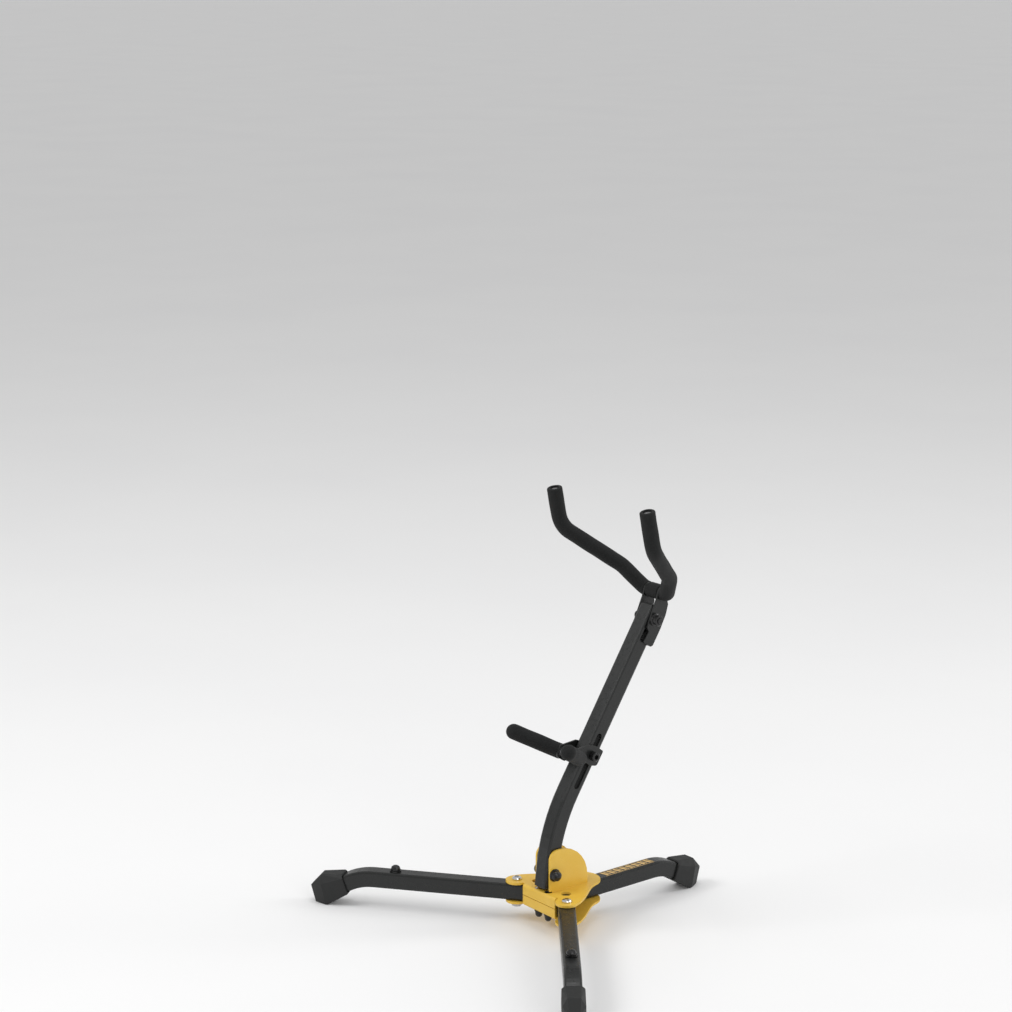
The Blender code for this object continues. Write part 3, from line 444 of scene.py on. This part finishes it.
def sleeve_rings(path, seed):
    """Outer rings of a sleeve, with rounded rims, and its bore back to the start."""
    spots = carried(path)
    travelled = [0.0]
    for a, b in zip(path, path[1:]):
        travelled.append(travelled[-1] + (b - a).length)
    total = travelled[-1]
    rings = []
    for (point, u, v, _), along in zip(spots, travelled):
        ring = []
        for i in range(RING):
            angle = 2 * math.pi * i / RING
            rim = min(along, total - along) / RIM
            pinch = 0.0 if rim >= 1 else RIM * (1 - math.sqrt(max(0.0, 1 - (1 - rim) ** 2)))
            radius = sleeve_radius(angle, along, seed) - pinch
            ring.append(point + u * (radius * math.cos(angle)) + v * (radius * math.sin(angle)))
        rings.append(ring)
    inner = [ring_points(point, u, v, SLEEVE_BORE, RING) for point, u, v, _ in spots[::-1]]
    return rings, inner


def dense(path):
    """Even points with extra ones at both rims."""
    points = evenly(path, SLEEVE_STEP)
    first, last = points[0], points[-1]
    ahead = (points[1] - first).normalized()
    behind = (points[-2] - last).normalized()
    head = [first + ahead * (d * MM) for d in (0.0, 0.12, 0.4, 0.8)]
    tail = [last + behind * (d * MM) for d in (0.8, 0.4, 0.12, 0.0)]
    return head + points[1:-1] + tail


def open_sleeve(name, node, body, path, seed):
    """Sleeve with a rounded rim at both ends, open through to its bore."""
    rings, inner = sleeve_rings(dense(path), seed)
    bm = bmesh.new()
    rows = skin(bm, rings + inner, False, False)
    for i in range(RING):
        k = (i + 1) % RING
        bm.faces.new((rows[-1][i], rows[-1][k], rows[0][k], rows[0][i]))
    piece = mesh_piece(name, bm, body, FINISHES["black_foam"])
    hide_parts(node)
    return piece


def ball_sleeve(name, node, body, path, seed):
    """Sleeve whose far end is a ball."""
    points = evenly(path, SLEEVE_STEP)
    ahead = (points[-1] - points[-2]).normalized()
    tip = points[-1]
    centre = tip - ahead * PAD_RADIUS
    body_points = [p for p in points if (p - tip).length > PAD_RADIUS + 0.4 * MM] + [centre]
    # the sleeve runs a little into the ball, so that its rounded rim isn't seen
    rings, inner = sleeve_rings(body_points + [centre + ahead * (2.2 * MM)], seed)
    rings, inner = rings[:-1], inner[2:]
    _, u, v, _ = carried(body_points)[-1]
    rings[-1] = ring_points(centre, u, v, SLEEVE_SKIN, RING)
    for k in range(1, BALL_STEPS):
        angle = math.pi / 2 * k / BALL_STEPS
        hub = centre + ahead * (SLEEVE_SKIN * math.sin(angle))
        rings.append(ring_points(hub, u, v, SLEEVE_SKIN * math.cos(angle), RING))
    bm = bmesh.new()
    skin(bm, inner[::-1] + rings, True, True)
    piece = mesh_piece(name, bm, body, FINISHES["black_foam"])
    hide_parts(node)
    return piece


def round_rod(name, node, body, path, finish):
    """Solid bent rod with chamfered ends."""
    points = evenly(path, ROD_STEP)
    first, last = points[0], points[-1]
    points = [first, first + (points[1] - first).normalized() * ROD_CHAMFER, *points[1:-1],
              last + (points[-2] - last).normalized() * ROD_CHAMFER, last]
    rings = []
    for i, (point, u, v, _) in enumerate(carried(points)):
        radius = ROD_RADIUS - (ROD_CHAMFER if i in (0, len(points) - 1) else 0.0)
        rings.append(ring_points(point, u, v, radius, ROD_SIDES))
    bm = bmesh.new()
    skin(bm, rings, True, True)
    piece = mesh_piece(name, bm, body, finish)
    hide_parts(node)
    return piece


def cut_back(path, amount):
    """The path with its last stretch shortened."""
    last, before = path[-1], path[-2]
    return path[:-1] + [last + (before - last).normalized() * amount]


def make_padded_rods():
    rod = brushed_rod()
    start = BRACKET_HALF + SLEEVE_GAP
    arm = arm_path(YOKE, YOKE_BASE, YOKE_STRAIGHT, YOKE_CORNERS, YOKE_BENDS, start)
    open_sleeve("yoke_sleeve_right", "yoke_pad_right", "yoke", arm, 0.7)
    open_sleeve("yoke_sleeve_left", "yoke_pad_left", "yoke", mirrored(arm), 2.9)
    bar = cut_back(arm, YOKE_ROD_RECESS)
    round_rod("yoke_bar", "yoke_rod", "yoke", mirrored(bar)[::-1] + bar, rod)
    low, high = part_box("yoke_pad_middle")
    y, z = YOKE_BASE
    middle = in_frame(YOKE, [(low.x, y, z), (high.x, y, z)])
    open_sleeve("yoke_sleeve_middle", "yoke_pad_middle", "yoke", middle, 4.1)

    arm = arm_path(CRADLE, CRADLE_BASE, CRADLE_STRAIGHT, (CRADLE_TIP,), (), start)
    ball_sleeve("cradle_sleeve_right", "cradle_pad_right", "cradle", arm, 1.3)
    ball_sleeve("cradle_sleeve_left", "cradle_pad_left", "cradle", mirrored(arm), 5.2)
    bar = cut_back(arm, CRADLE_ROD_RECESS)
    round_rod("cradle_bar", "cradle_rod", "cradle", mirrored(bar)[::-1] + bar, rod)


# ---------------------------------------------------------------- detent springs
SPRING_WIRE = 0.45 * MM
SPRING_TURNS = 4
SPRING_SIDES = 10
SPRING_STEPS = 28                # points in a turn


def make_spring(side):
    """Coil between the leg tube's floor and the detent button, built at one length; the spring shortens as the
    button is pressed, but this coil does not.
    """
    node = "detent_spring_" + side
    low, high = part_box(node)
    middle = (low + high) / 2
    radius = (high.x - low.x) / 2 - SPRING_WIRE - 0.02 * MM
    floor = low.z + SPRING_WIRE
    rise = high.z - low.z - 2 * SPRING_WIRE
    count = SPRING_TURNS * SPRING_STEPS
    path = []
    for i in range(count + 1):
        angle = 2 * math.pi * SPRING_TURNS * i / count
        path.append(Vector((middle.x + radius * math.cos(angle), middle.y + radius * math.sin(angle),
                            floor + rise * i / count)))
    rings = []
    for point, u, v, _ in carried(path):
        rings.append(ring_points(point, u, v, SPRING_WIRE, SPRING_SIDES))
    bm = bmesh.new()
    skin(bm, rings, True, True)
    piece = mesh_piece("detent_coil_" + side, bm, None, FINISHES["zinc_steel"])
    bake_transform(piece)
    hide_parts(node)


# ---------------------------------------------------------------- print on the rear leg
PRINT_START = 60.0 * MM          # from the tube's end inside the hub
PRINT_LENGTH = 56.0 * MM
PRINT_HALF = 3.6 * MM
PRINT_PITCH = 3.6 * MM
PRINT_SLANT = 2.4 * MM
PRINT_FILM = 0.06 * MM
PRINT_LIFT = 0.03 * MM           # clear of the tube, so that the two don't share a face
HAIRLINE_HALF = 0.2 * MM
HAIRLINE_GAP = 1.2 * MM


def make_print():
    """A generic gold ornament on the rear leg's top: slanting bars between two hairlines."""
    low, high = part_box("leg_tube_rear")
    top = high.z + PRINT_LIFT
    begin = low.y + PRINT_START
    bm = bmesh.new()

    def patch(corners):
        lower = [bm.verts.new((x, y, top)) for x, y in corners]
        upper = [bm.verts.new((x, y, top + PRINT_FILM)) for x, y in corners]
        bm.faces.new(lower[::-1])
        bm.faces.new(upper)
        for i in range(len(corners)):
            k = (i + 1) % len(corners)
            bm.faces.new((lower[i], lower[k], upper[k], upper[i]))

    count = round(PRINT_LENGTH / PRINT_PITCH)
    for i in range(count):
        y = begin + i * PRINT_PITCH
        broad = (2.3 if i % 2 == 0 else 1.2) * MM
        patch([(-PRINT_HALF, y), (PRINT_HALF, y + PRINT_SLANT), (PRINT_HALF, y + PRINT_SLANT + broad),
               (-PRINT_HALF, y + broad)])
    end = begin + count * PRINT_PITCH
    for side in (-1, 1):
        x = side * (PRINT_HALF + HAIRLINE_GAP)
        left, right = x - HAIRLINE_HALF, x + HAIRLINE_HALF
        patch([(left, begin), (right, begin), (right, end), (left, end)])
    mesh_piece("rear_leg_print", bm, "hub", gold_ink())


# ---------------------------------------------------------------- stage, light and camera
PIVOTS_AHEAD = 4.4 * MM          # the leg pivots lie this far in front of the hub's centre
CAMERA_AWAY = 2.0585             # level distance from the hub's centre
CAMERA_AZIMUTH = math.radians(50.428)
CAMERA_HEIGHT = 0.8470
CAMERA_DIP = math.radians(12.787)
CAMERA_TURN = math.radians(0.958)    # turned this much to the left of the hub's centre
CAMERA_LENS = 88.994                 # millimetres, for a sensor 36 mm wide


def hub_centre():
    """The hub's centre on the floor, the point that the camera was placed from."""
    left, right = joints["leg_left_swing"]["pos_m"], joints["leg_right_swing"]["pos_m"]
    return Vector(((left[0] + right[0]) / 2, left[1] + PIVOTS_AHEAD, 0.0))


def make_camera():
    data = bpy.data.cameras.new("camera")
    data.lens = CAMERA_LENS
    data.sensor_width = 36.0
    data.clip_start = 0.05
    camera = bpy.data.objects.new("camera", data)
    bpy.context.scene.collection.objects.link(camera)
    away = Vector((math.sin(CAMERA_AZIMUTH), -math.cos(CAMERA_AZIMUTH), 0)) * CAMERA_AWAY
    camera.location = hub_centre() + away + Vector((0, 0, CAMERA_HEIGHT))
    camera.rotation_euler = (math.pi / 2 - CAMERA_DIP, 0, CAMERA_AZIMUTH + CAMERA_TURN)
    bpy.context.scene.camera = camera


def area(name, spot, target, size, power, colour=(1, 1, 1)):
    data = bpy.data.lights.new(name, "AREA")
    data.shape = "RECTANGLE"
    data.size, data.size_y = size
    data.energy = power
    data.color = colour
    light = bpy.data.objects.new(name, data)
    bpy.context.scene.collection.objects.link(light)
    light.location = spot
    light.rotation_euler = (Vector(target) - Vector(spot)).to_track_quat("-Z", "Y").to_euler()
    return light


def make_stage():
    bm = bmesh.new()
    bmesh.ops.create_circle(bm, cap_ends=True, segments=64, radius=40.0)
    mesh = bpy.data.meshes.new("floor")
    bm.to_mesh(mesh)
    bm.free()
    floor = bpy.data.objects.new("floor", mesh)
    floor.location.z = -0.0002
    bpy.context.scene.collection.objects.link(floor)
    s = Shader("floor_paint", (0.92, 0.92, 0.92), 0.85)
    s.paint((s.spread(s.noise(0.4, 3.0), 0.4, 0.7, 0.0, 0.5), (0.89, 0.89, 0.895)))
    mesh.materials.append(s.material)

    world = bpy.data.worlds.new("studio")
    bpy.context.scene.world = world
    world.use_nodes = True
    background = world.node_tree.nodes["Background"]
    background.inputs["Color"].default_value = (1, 1, 1, 1)
    background.inputs["Strength"].default_value = 0.6
    middle = (0, 0, 0.15)
    area("key", (-0.9, -1.7, 1.9), middle, (1.2, 0.9), 20)
    area("fill", (2.1, -0.5, 1.1), middle, (0.7, 1.4), 6)
    area("back", (1.1, 1.8, 1.3), middle, (0.5, 1.6), 12)
    area("crown", (0.0, 0.1, 2.1), middle, (1.0, 0.5), 6)


finish_cad_nodes()
make_padded_rods()
make_spring("left")
make_spring("right")
make_print()
make_stage()
make_camera()
bpy.context.scene.view_settings.view_transform = "Standard"
